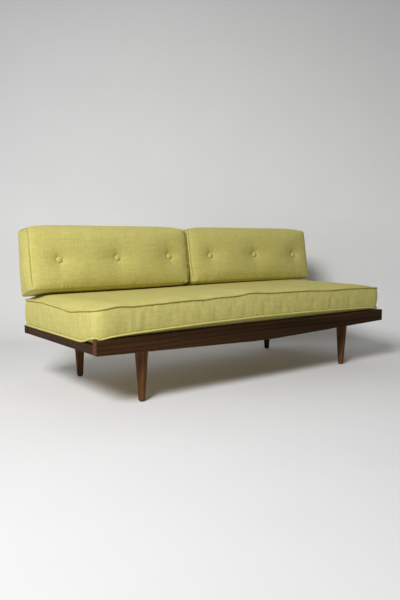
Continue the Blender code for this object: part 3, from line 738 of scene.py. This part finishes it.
def welt(name, run, radius, lift, body, seed, cloth, under):
    """A cord in a bias strip of the linen, sewn into a seam: a soft tube with small lumps. Its half sunk in
    the seam gets painted shade, and under is how much painted shade its lower side gets, as from the fold
    below it."""
    sides = 10
    spots, ways, places = even(*run, 0.006)
    spots, ways, places = spots[:-1], ways[:-1], places[:-1]
    count = len(spots)
    bm = bmesh.new()
    rings = []
    shade = []
    for index in range(count):
        ahead = Vector(spots[(index + 1) % count] - spots[index - 1]).normalized()
        out = Vector(ways[index])
        out = (out - ahead * out.dot(ahead)).normalized()
        side = ahead.cross(out)
        wobble = noise.noise((places[index] * 11.0, seed, 0.0))
        size = radius * (1.0 + 0.05 * noise.noise((places[index] * 70.0, seed, 2.0)))
        centre = Vector(spots[index]) + out * (lift + 0.0006 * wobble)
        ring = []
        for step in range(sides):
            turn = tau * step / sides
            way = out * cos(turn) + side * sin(turn)
            ring.append(bm.verts.new(centre + way * size))
            # Painted shade: on the half of the tube sunk in the seam, and, by under, on its lower side.
            inner = 0.8 * max(0.0, -cos(turn)) ** 1.5
            shade.append(max(inner, under * min(1.0, max(0.0, 0.5 - 2.0 * way.z))))
        rings.append(ring)
    for index in range(count):
        for step in range(sides):
            after, beside = (index + 1) % count, (step + 1) % sides
            bm.faces.new((rings[index][step], rings[index][beside], rings[after][beside], rings[after][step]))
    mesh = as_mesh(name, bm)
    weave = mesh.attributes.new("weave", "FLOAT_VECTOR", "CORNER")
    painted_shade = mesh.attributes.new("painted_shade", "FLOAT", "POINT")
    around = tau * radius / sides
    for face in mesh.polygons:
        index = face.index // sides
        for loop in face.loop_indices:
            vertex = mesh.loops[loop].vertex_index
            ring, step = divmod(vertex, sides)
            # The last face of a round ends at its start, one whole turn further on.
            ring = ring + count if ring < index else ring
            step = step + sides if step == 0 and face.index % sides == sides - 1 else step
            along, across = places[1] * ring, around * step
            weave.data[loop].vector = (0.7 * (along + across), 0.7 * (along - across), 0.0)
    mesh.shade_smooth()
    painted_shade.data.foreach_set("value", shade)
    mesh.materials.append(cloth)
    cord = set_down(name, mesh)
    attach(cord, body)


LIP_RUN = 0.130
ARCH_HEIGHT = 0.3434
ARCH_FALL = 0.0205
ARCH_MIDDLE = 0.08


def lip_share(y):
    """1 at the mattress's front edge, 0 where it has come down behind the front rail."""
    share = (front_inner + LIP_RUN - y) / (front_inner + LIP_RUN - mattress_front)
    share = min(1.0, max(0.0, share))
    return share * share * (3 - 2 * share)


def bottom_seam(x, y):
    """Height of the bottom welt: on the end rails, and arched over the front rail."""
    arch = ARCH_HEIGHT - ARCH_FALL * (x - ARCH_MIDDLE) ** 2 + 0.0016 * noise.noise((x * 5.0, 1.7, 0.0))
    low = deck_top + WELT_RADIUS + 0.0002
    return low + (arch - low) * lip_share(y)


# Where the top welt has crept up or down: along the front by x, and along the ends by the share of
# the depth from the rear, each with its width and its height.
FRONT_HUMPS = ((-0.84, 0.050, 0.0075), (-0.38, 0.045, -0.0042), (-0.08, 0.070, 0.0080),
               (0.50, 0.110, -0.0050), (0.97, 0.060, -0.0045))
END_HUMPS = ((0.25, 0.180, 0.0068), (0.69, 0.096, -0.0070))
REAR_SEAM_RISE = 0.1286
REAR_CROWN_RISE = 0.1627


def hump(place, middle, width, height):
    """A smooth rise of this height and width round its middle."""
    return height * exp(-((place - middle) / width) ** 2)


def top_seam(x, y):
    """Height of the top welt: it sags along the ends and rises to the front. Inside the panel it
    is the height that the crown stands on."""
    front = bottom_seam(x, mattress_front) + BOXING_HEIGHT - 0.0012
    front += sum(hump(x, *place) for place in FRONT_HUMPS) + 0.0008 * noise.noise((x * 14.0, 5.2, 0.0))
    share = max(0.0, (mattress_rear - y) / (mattress_rear - mattress_front))
    near_end = exp(-((MATTRESS_HALF - abs(x)) / 0.16) ** 2)
    ends = deck_top + REAR_SEAM_RISE + near_end * sum(hump(share, *place) for place in END_HUMPS)
    return ends + (front - ends) * max(0.0, (share - 0.62) / 0.38) ** 2


def crown(x, y):
    """Height of the stuffed top panel well inside its welt."""
    share = min(1.0, max(0.0, (mattress_rear - y) / (mattress_rear - mattress_front)))
    back = deck_top + REAR_CROWN_RISE + 0.0055 * tanh((x + 0.10) / 0.35)
    front = top_seam(x, mattress_front) + 0.008
    blend = min(1.0, max(0.0, (share - 0.35) / 0.65))
    return back + (front - back) * blend * blend * (3 - 2 * blend)


BOLSTER_DEPTH = 0.152
UNDERSIDE_TILT = radians(16.0)
UNDERSIDE_SWELL = 0.007
BOLSTER_REACH = 0.975
bolster_rear = rear_face - 0.0275
bolster_base = deck_top + 0.148


def under_bolster(x, y):
    """Height of the bolsters' underside, which presses the top panel down where they stand."""
    back = (bolster_rear - y) / (BOLSTER_DEPTH * cos(UNDERSIDE_TILT))
    if abs(x) > BOLSTER_REACH:
        return 1.0
    if back < 0:
        return bolster_base - 0.0012 + 0.25 * (y - bolster_rear)
    bow = max(0.0, 1 - abs(1 - 2 * back) ** 4) * (1 - abs(2 * abs(x) / BOLSTER_REACH - 1) ** 4)
    return bolster_base + back * BOLSTER_DEPTH * sin(UNDERSIDE_TILT) - UNDERSIDE_SWELL * bow - 0.0012


RIPPLED_AT = -0.76
ROUND_OFF = 0.020


def mattress_shape(u, v, w):
    """The filled cover: u along the daybed, v from front to back, w from bottom to top."""
    corner = FRONT_CORNER if v < 0 else REAR_CORNER
    x, y = round_corner(u * MATTRESS_HALF, v * mattress_half_y, MATTRESS_HALF, mattress_half_y, corner)
    y += mattress_middle_y
    low, high = bottom_seam(x, y), top_seam(x, y)
    tall = (w + 1) / 2
    if v < 0:
        # The front corners are drawn in a little at their foot.
        off = (MATTRESS_HALF - abs(x)) ** 2 + (y - mattress_front) ** 2
        near = exp(-off / 0.045 ** 2) * (1 - tall)
        x -= copysign(0.003 * near, x)
        y += 0.004 * near
    if abs(w) < 1:
        # The boxing: soft upright ripples, and a belly between the two welts.
        belly = 1 - abs(w) ** 2.4
        place = x if abs(v) == 1 else y
        ripple = 0.5 * noise.noise((place * 19.0, v * 2.0, 0.6)) + 0.5 * noise.noise((place * 43.0, v, 0.9))
        strength = 0.0050 + 0.0070 * exp(-((x - RIPPLED_AT) / 0.17) ** 2)
        out = belly * (0.0050 + strength * ripple * (0.55 - 0.45 * w))
        x += copysign(out, u) if abs(u) == 1 else 0.0
        y += copysign(out, v) if abs(v) == 1 else 0.0
        return x, y, low + (high - low) * tall
    if w == 1:
        full = 1 - exp(-(1 - abs(u)) * MATTRESS_HALF / ROUND_OFF)
        full *= 1 - exp(-(1 - abs(v)) * mattress_half_y / ROUND_OFF)
        return x, y, min(high + (crown(x, y) - high) * full, under_bolster(x, y))
    # The bottom panel rounds under the front welt onto the rail, and lies flat on the slats behind it.
    on_lip = lip_top + MATTRESS_CLEAR
    on_deck = deck_top + MATTRESS_CLEAR
    if y < front_inner + 0.004:
        floor = on_lip
        drop = min(1.0, (y - mattress_front) / 0.0165)
        front_round = 1 - sqrt(max(0.0, 1 - (1 - drop) ** 2))
    else:
        floor = on_lip + (on_deck - on_lip) * min(1.0, (y - front_inner - 0.004) / 0.012)
        front_round = 0.0
    side_round = 1 - min(1.0, (1 - abs(u)) * MATTRESS_HALF / ROUND_OFF)
    rear_round = 1 - min(1.0, (1 - v) * mattress_half_y / ROUND_OFF)
    share = max(front_round, side_round ** 2, rear_round ** 2)
    return x, y, floor + (low - floor) * share


def mattress_seams(one, other):
    """The two welted seams, and the upright seam in the boxing by the front left corner."""
    same = [a == b for a, b in zip(one, other)]
    round_top = same[2] and abs(one[2]) == 1
    if round_top and ((same[0] and abs(one[0]) == 1) or (same[1] and abs(one[1]) == 1)):
        return True
    piecing = same[0] and same[1] and (one[0], one[1]) in (piecing_left, piecing_right)
    return piecing and not same[2]


def mattress_holds(u, v, w):
    """Seams are held, and so is the bottom panel, which the slats carry."""
    if w == -1 or (w == 1 and (abs(u) == 1 or abs(v) == 1)):
        return 1.0
    if (u, v) in (piecing_left, piecing_right):
        return 1.0
    return 0.0


PIECING_REACH = 0.3487
piecing_spot = mattress_half_y - mattress_middle_y - PIECING_REACH
along_rows = rows(2 * MATTRESS_HALF, FABRIC_CELL)
deep_rows = rows(2 * mattress_half_y, FABRIC_CELL,
                 (piecing_spot, 2 * mattress_half_y - piecing_spot,
                  front_inner + 0.003 - mattress_front, front_inner + 0.018 - mattress_front))
tall_rows = rows(BOXING_HEIGHT, 0.0105)
piecing_left = (-1.0, 2 * piecing_spot / (2 * mattress_half_y) - 1)
piecing_right = (1.0, 2 * (2 * mattress_half_y - piecing_spot) / (2 * mattress_half_y) - 1)

cover = sewn_skin("mattress_cover", (along_rows, deep_rows, tall_rows), mattress_shape, mattress_seams,
                  mattress_holds)
stuff(cover, looseness=0.003, cap=0.006)
for vertex in cover.data.vertices:
    if vertex.co.z > top_seam(vertex.co.x, vertex.co.y) - 0.002:
        vertex.co.z = min(vertex.co.z, under_bolster(vertex.co.x, vertex.co.y))


def mattress_fold(spot, seam):
    """Painted shade below the top welt, darkest there, and below the bottom welt, which lies open in a
    shallow groove; the upright seam hardly shows, with almost no painted shade.
    """
    below = spot[2] < seam[2] - 0.0004
    if seam[2] > top_seam(seam[0], seam[1]) - 0.006:
        return (0.60 if below else 0.06), 1.0
    return (0.55 if below else 0.0), 0.25


mattress_runs = sew(cover, mattress_fold, depth=0.0028, width=0.0040, seed=1.0)
lay_weave(cover.data)
cover.data.materials.append(linen)
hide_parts("mattress")
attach(cover, "mattress")

closed = [run for run in mattress_runs if (run[0][0] - run[0][-1]).length < 0.001]
closed.sort(key=lambda run: sum(point.z for point in run[0]) / len(run[0]))
bottom_run, top_run = closed
# The bottom welt wears the paler linen, a painted highlight, with a fifth of the painted shade on its lower
# side; the top welt gets half.
welt("mattress_bottom_welt", bottom_run, 0.0050, 0.0040, "mattress", 24.0, painted_highlight_linen, 0.2)
welt("mattress_top_welt", top_run, 0.0042, 0.0014, "mattress", 21.0, linen, 0.50)


# ---- Bolsters ---------------------------------------------------------------------------------
# Two firm back bolsters, wedge-shaped foam in one wrapped cover each, with a plain seamed panel at
# both ends and along the bottom. Three covered buttons are tied through to three on the back, so
# the face dimples and creases at each. They stand on the mattress and lean on the supports.

BOLSTER_FRONT_HEIGHT = 0.314
BOLSTER_REAR_HEIGHT = 0.338
FRONT_LEAN = radians(9.5)
REAR_LEAN = radians(5.8)
BOLSTER_CORNER = 0.009
FRONT_FOLD = 0.013
REAR_FOLD = 0.005
FACE_SWELL = 0.0225
BACK_SWELL = 0.017
INNER_SWELL = {-1: 0.0175, 1: 0.0030}
BUTTON_SHARE = 0.49
BUTTON_RADIUS = 0.0160
EDGE_ROUND = 0.0065
TUFT_DEPTH = 0.0165
TUFT_SPREAD = 0.024

rear_up = Vector((0.0, sin(REAR_LEAN), cos(REAR_LEAN))) * BOLSTER_REAR_HEIGHT
front_up = Vector((0.0, sin(FRONT_LEAN), cos(FRONT_LEAN))) * BOLSTER_FRONT_HEIGHT
front_foot = Vector((0.0, -cos(UNDERSIDE_TILT), sin(UNDERSIDE_TILT))) * BOLSTER_DEPTH
mean_lean = (FRONT_LEAN + REAR_LEAN) / 2
outwards = Vector((0.0, cos(mean_lean), -sin(mean_lean)))
upwards = Vector((0.0, sin(mean_lean), cos(mean_lean)))


def tuft(across, up, seed):
    """How far in a button pulls the face at this distance from it, with creases running out from it."""
    far = hypot(across, up)
    past = max(0.0, far - BUTTON_RADIUS * 0.8)
    pull = TUFT_DEPTH * exp(-past / TUFT_SPREAD) + 0.0035 * exp(-(far / 0.085) ** 2)
    bearing = atan2(up, across)
    for fold, (aim, reach, deep) in enumerate(((1.75, 0.017, 0.0030), (-1.45, 0.016, 0.0022),
                                               (0.25, 0.015, 0.0014), (2.95, 0.015, 0.0016))):
        aim += 0.35 * noise.noise((seed * 3.1, fold * 2.3, 0.5))
        off = atan2(sin(bearing - aim), cos(bearing - aim)) * max(far, 0.010)
        pull += deep * exp(-(off / 0.0070) ** 2) * (past / reach) * exp(1.0 - past / reach)
    return pull


def bolster_shape(near, far, side, spots):
    """One bolster from x = near at the middle joint to x = far at its outer end."""
    middle, half_x = (near + far) / 2, abs(far - near) / 2
    half_y, half_z = BOLSTER_DEPTH / 2, BOLSTER_REAR_HEIGHT / 2

    def shape(u, v, w):
        x, z = round_corner(u * half_x, w * half_z, half_x, half_z, BOLSTER_CORNER)
        y = v * half_y
        if z > 0:
            y, z = round_corner(y, z, half_y, half_z, REAR_FOLD if v > 0 else FRONT_FOLD)
        share = z / BOLSTER_REAR_HEIGHT + 0.5
        point = (front_foot + front_up * share).lerp(rear_up * share, y / BOLSTER_DEPTH + 0.5)
        x += middle
        if side > 0:
            # The right one has sunk a little at its outer front foot.
            point.z -= 0.010 * max(0.0, (x - 0.45) / 0.55) ** 2 * (1 - share) ** 2 * (0.5 - y / BOLSTER_DEPTH)
        joint = max(0.0, -u * side)
        x += joint * side * 0.010 * max(0.0, 1 - share / 0.45) ** 1.5 * (0.5 - y / BOLSTER_DEPTH)
        if abs(v) == 1:
            bulge = BACK_SWELL if v > 0 else FACE_SWELL
            lumps = 0.0016 * noise.noise((x * 9.0, share * 3.5, side * 4.0 + v))
            lumps += 0.0010 * noise.noise((x * 26.0, share * 2.0, side * 7.0 + v))
            out = (bulge + lumps) * swell(u, w, 4.5)
            from_end = 1 - exp(-(1 - abs(u)) * half_x / 0.010)
            from_foot = 1 - exp(-(1 + w) * half_z / 0.012)
            out += EDGE_ROUND * from_end * from_foot
            for seed, (spot, rise) in enumerate(spots):
                up = (share - BUTTON_SHARE) * BOLSTER_FRONT_HEIGHT - rise
                if abs(x - spot) < 0.2:
                    out -= tuft(x - spot, up, seed + side + 2 * v)
            point += outwards * v * out
        if abs(w) == 1:
            rise = 0.018 * (1 - abs(u) ** 10) * (1 - abs(v) ** 3) if w > 0 else -UNDERSIDE_SWELL * swell(u, v)
            point += upwards * rise
        if abs(u) == 1:
            if u * side > 0:
                x += u * (0.014 - 0.008 * w) * swell(v, w, 3)
            else:
                x += u * INNER_SWELL[side] * (1 - abs(v) ** 12) * (1 - abs(w) ** 6)
        return x, bolster_rear + point.y, bolster_base + point.z

    return shape


def bolster_seams(one, other):
    """A seam round each end panel, and one along each side of the bottom strip."""
    same = [a == b for a, b in zip(one, other)]
    on_end = same[0] and abs(one[0]) == 1
    around = (same[1] and abs(one[1]) == 1) or (same[2] and abs(one[2]) == 1)
    along_bottom = same[1] and abs(one[1]) == 1 and same[2] and one[2] == -1
    return (on_end and around) or along_bottom


def bolster_fold(spot, seam):
    """The upright seams are drawn in deep with full painted shade, and those round the bottom strip lie open
    with less.
    """
    return (1.0, 1.0) if seam[2] > bolster_base + 0.060 else (0.30, 0.7)


def covered_button(name, centre, facing, body, cad_node=None):
    """A button in the same linen: a domed face, the fabric gathered over its rim to the back."""
    bm = bmesh.new()
    sides, loops = 48, 12
    rings = []
    for ring in range(1, loops + 1):
        turn = pi * 0.60 * ring / loops
        out = BUTTON_RADIUS * sin(turn) ** 0.85
        rise = 0.0072 * cos(turn)
        gather = max(0.0, ring / loops - 0.55)
        circle = []
        for step in range(sides):
            angle = tau * step / sides
            fold = 1.0 + 0.06 * gather * cos(12 * angle + 2.0 * noise.noise((angle, 1.0, centre[0])))
            circle.append(bm.verts.new((out * fold * cos(angle), out * fold * sin(angle), rise)))
        rings.append(circle)
    top = bm.verts.new((0.0, 0.0, 0.0072))
    back = bm.verts.new((0.0, 0.0, rings[-1][0].co.z))
    for step in range(sides):
        after = (step + 1) % sides
        bm.faces.new((top, rings[0][step], rings[0][after]))
        bm.faces.new((back, rings[-1][after], rings[-1][step]))
        for low, high in zip(rings, rings[1:]):
            bm.faces.new((low[step], high[step], high[after], low[after]))
    mesh = as_mesh(name, bm)
    weave = mesh.attributes.new("weave", "FLOAT_VECTOR", "CORNER")
    painted_shade = mesh.attributes.new("painted_shade", "FLOAT", "POINT")
    for loop in mesh.loops:
        spot = mesh.vertices[loop.vertex_index].co
        weave.data[loop.index].vector = (spot.x + centre[0] * 5.3, spot.y + centre[0] * 3.1, 0.0)
    # Painted shade on the rim and back, where the fabric turns under.
    for vertex in mesh.vertices:
        painted_shade.data[vertex.index].value = min(1.0, max(0.0, (0.0012 - vertex.co.z) / 0.004))
    mesh.shade_smooth()
    mesh.materials.append(linen)
    button = set_down(name, mesh)
    button.matrix_world = Matrix.Translation(centre) @ facing.to_track_quat("Z", "Y").to_matrix().to_4x4()
    if cad_node:
        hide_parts(cad_node)
    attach(button, body)


BUTTON_PLACES = {"left": ((-0.8200, -0.0050), (-0.4885, -0.0020), (-0.1510, 0.0020)),
                 "right": ((0.1480, 0.0015), (0.4980, 0.0015), (0.8490, -0.0030))}
BOLSTER_CELL = 0.0125
BOLSTER_ENDS = {"left": (-0.0200, -0.9715), "right": (0.0035, 0.9870)}
BUTTON_ROWS = (-0.034, -0.025, -0.018, -0.012, -0.006, 0.0, 0.006, 0.012, 0.018, 0.025, 0.034)
for name, side in (("left", -1), ("right", 1)):
    near, far = BOLSTER_ENDS[name]
    spots = BUTTON_PLACES[name]
    start = min(near, far)
    tied_rows = [spot + step - start for spot, _ in spots for step in BUTTON_ROWS]
    long_rows = rows(abs(far - near), BOLSTER_CELL, tied_rows)
    centre = BUTTON_SHARE * BOLSTER_REAR_HEIGHT
    high_rows = rows(BOLSTER_REAR_HEIGHT, BOLSTER_CELL, [centre + step for step in BUTTON_ROWS])
    thick_rows = rows(BOLSTER_DEPTH, BOLSTER_CELL)

    def bolster_holds(u, v, w):
        """Seams and the places under the buttons are held."""
        edges = sum(abs(place) == 1 for place in (u, v, w))
        if edges >= 2 and (abs(u) == 1 or w == -1):
            return 1.0
        x = (near + far) / 2 + u * abs(far - near) / 2
        up = ((w + 1) / 2 - BUTTON_SHARE) * BOLSTER_FRONT_HEIGHT
        tied = abs(v) == 1 and min(hypot(x - spot, up - rise) for spot, rise in spots) < BUTTON_RADIUS
        return 1.0 if tied else 0.0

    shape = bolster_shape(near, far, side, spots)
    cover = sewn_skin(name + "_bolster_cover", (long_rows, thick_rows, high_rows), shape, bolster_seams,
                      bolster_holds)
    stuff(cover, looseness=0.001, cap=0.005)
    sew(cover, bolster_fold, depth=0.0036, width=0.0036, pucker=0.0016, seed=6.0 + side)
    lay_weave(cover.data)
    cover.data.materials.append(linen)
    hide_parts(name + "_bolster")
    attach(cover, name + "_bolster")

    for place, (spot, rise) in zip(("left", "middle", "right"), spots):
        row = (spot - (near + far) / 2) / (abs(far - near) / 2)
        level = 2 * (BUTTON_SHARE + rise / BOLSTER_FRONT_HEIGHT) - 1
        front = Vector(shape(row, -1.0, level))
        back = Vector(shape(row, 1.0, level))
        face_way = Vector((0.0, -cos(FRONT_LEAN), sin(FRONT_LEAN)))
        back_way = Vector((0.0, cos(REAR_LEAN), -sin(REAR_LEAN)))
        covered_button(f"{name}_front_button_{place}", front + face_way * 0.0022, face_way, name + "_bolster",
                       f"{name}_bolster_button_{place}")
        covered_button(f"{name}_back_button_{place}", back + back_way * 0.0022, back_way, name + "_bolster")


# ---- Studio -----------------------------------------------------------------------------------
# A pale grey paper sweep, hung close behind the daybed and drawn out under it, and one large soft
# light high at the front left. The room adds a weak even light.

EYE = Vector((-2.0776, -2.6183, 0.7292))
HEADING = radians(36.98)
TILT = radians(5.74)
camera = set_down("camera", bpy.data.cameras.new("camera"))
camera.data.lens = 36.0
camera.data.sensor_width = 36.0
camera.data.sensor_fit = "AUTO"
camera.location = EYE
camera.rotation_euler = (radians(90) - TILT, 0.0, -HEADING)
bpy.context.scene.camera = camera

ahead = Vector((sin(HEADING), cos(HEADING), 0.0))
across = Vector((cos(HEADING), -sin(HEADING), 0.0))
SWEEP_REACH = 4.62
SWEEP_BEND = 0.42


def paper():
    """Matt grey paper, seen from its front only, so that it hides nothing from behind. Its grey is painted
    darker towards the top, towards the front and to the far left, as painted shade.
    """
    made, tree, shader = finish("sweep_paper", Roughness=0.9)
    place = add(tree, "TexCoord").outputs["Object"]
    fleck = mottle(tree, place, 3.0, 2.0)
    paper_grey = shades(tree, fleck, [(0.3, (0.825, 0.825, 0.828)), (0.7, (0.84, 0.84, 0.843))])
    # Painted shade: the grey falls off with height, nearer the camera and to the far left.
    height = add(tree, "SeparateXYZ", {0: place}).outputs["Z"]
    painted_falloff = spread(tree, height, 1.0, 0.58, 0.9, 2.7)
    reach = add(tree, "VectorMath", {0: place, 1: ahead}, operation="DOT_PRODUCT").outputs["Value"]
    near = spread(tree, reach, 0.86, 1.0, EYE.dot(ahead) + 1.1, EYE.dot(ahead) + 2.6)
    aside = add(tree, "VectorMath", {0: place, 1: across}, operation="DOT_PRODUCT").outputs["Value"]
    left = spread(tree, aside, 0.93, 1.0, EYE.dot(across) - 1.7, EYE.dot(across) - 0.3)
    painted_falloff = times(tree, painted_falloff, times(tree, near, left))
    dim = add(tree, "CombineColor", {0: painted_falloff, 1: painted_falloff, 2: painted_falloff}).outputs[0]
    tone = tinted(tree, 1.0, paper_grey, dim, "MULTIPLY")
    tree.links.new(tone, shader.inputs["Base Color"])
    clear = add(tree, "BsdfTransparent").outputs[0]
    behind = add(tree, "NewGeometry").outputs["Backfacing"]
    shown = add(tree, "MixShader", {0: behind, 1: shader.outputs[0], 2: clear}).outputs[0]
    tree.links.new(shown, tree.nodes["Material Output"].inputs["Surface"])
    return made


profile = [(-6.0, 0.0), (0.0, 0.0), (SWEEP_REACH - SWEEP_BEND, 0.0)]
for count in range(1, 13):
    turn = pi / 2 * count / 12
    forward = SWEEP_REACH - SWEEP_BEND + SWEEP_BEND * sin(turn)
    profile.append((forward, SWEEP_BEND * (1 - cos(turn))))
profile.append((SWEEP_REACH, 5.0))
bm = bmesh.new()
base = Vector((EYE.x, EYE.y, 0.0))
lines = []
for reach, height in profile:
    middle = base + ahead * reach + Vector((0.0, 0.0, height))
    lines.append([bm.verts.new(middle - across * 7.0), bm.verts.new(middle + across * 7.0)])
for low, high in zip(lines, lines[1:]):
    bm.faces.new((low[0], low[1], high[1], high[0]))
mesh = bpy.data.meshes.new("sweep")
bm.to_mesh(mesh)
bm.free()
mesh.shade_smooth()
mesh.materials.append(paper())
sweep = set_down("sweep", mesh)
sweep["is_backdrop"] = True


def soft_light(name, place, aim, size, power):
    """A softbox: an oblong light that faces aim."""
    lamp = bpy.data.lights.new(name, "AREA")
    lamp.shape = "RECTANGLE"
    lamp.size, lamp.size_y = size
    lamp.energy = power
    item = set_down(name, lamp)
    item.location = place
    item.rotation_euler = (Vector(aim) - Vector(place)).to_track_quat("-Z", "Y").to_euler()


soft_light("key", (-3.55, -2.05, 3.35), (0.1, 0.0, 0.35), (1.7, 1.4), 229.0)
world = bpy.data.worlds.new("studio")
world.use_nodes = True
room_light = world.node_tree.nodes["Background"].inputs
room_light["Color"].default_value = (1.0, 1.0, 1.0, 1.0)
room_light["Strength"].default_value = 0.105
bpy.context.scene.world = world
bpy.context.scene.view_settings.view_transform = "Standard"

low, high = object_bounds()
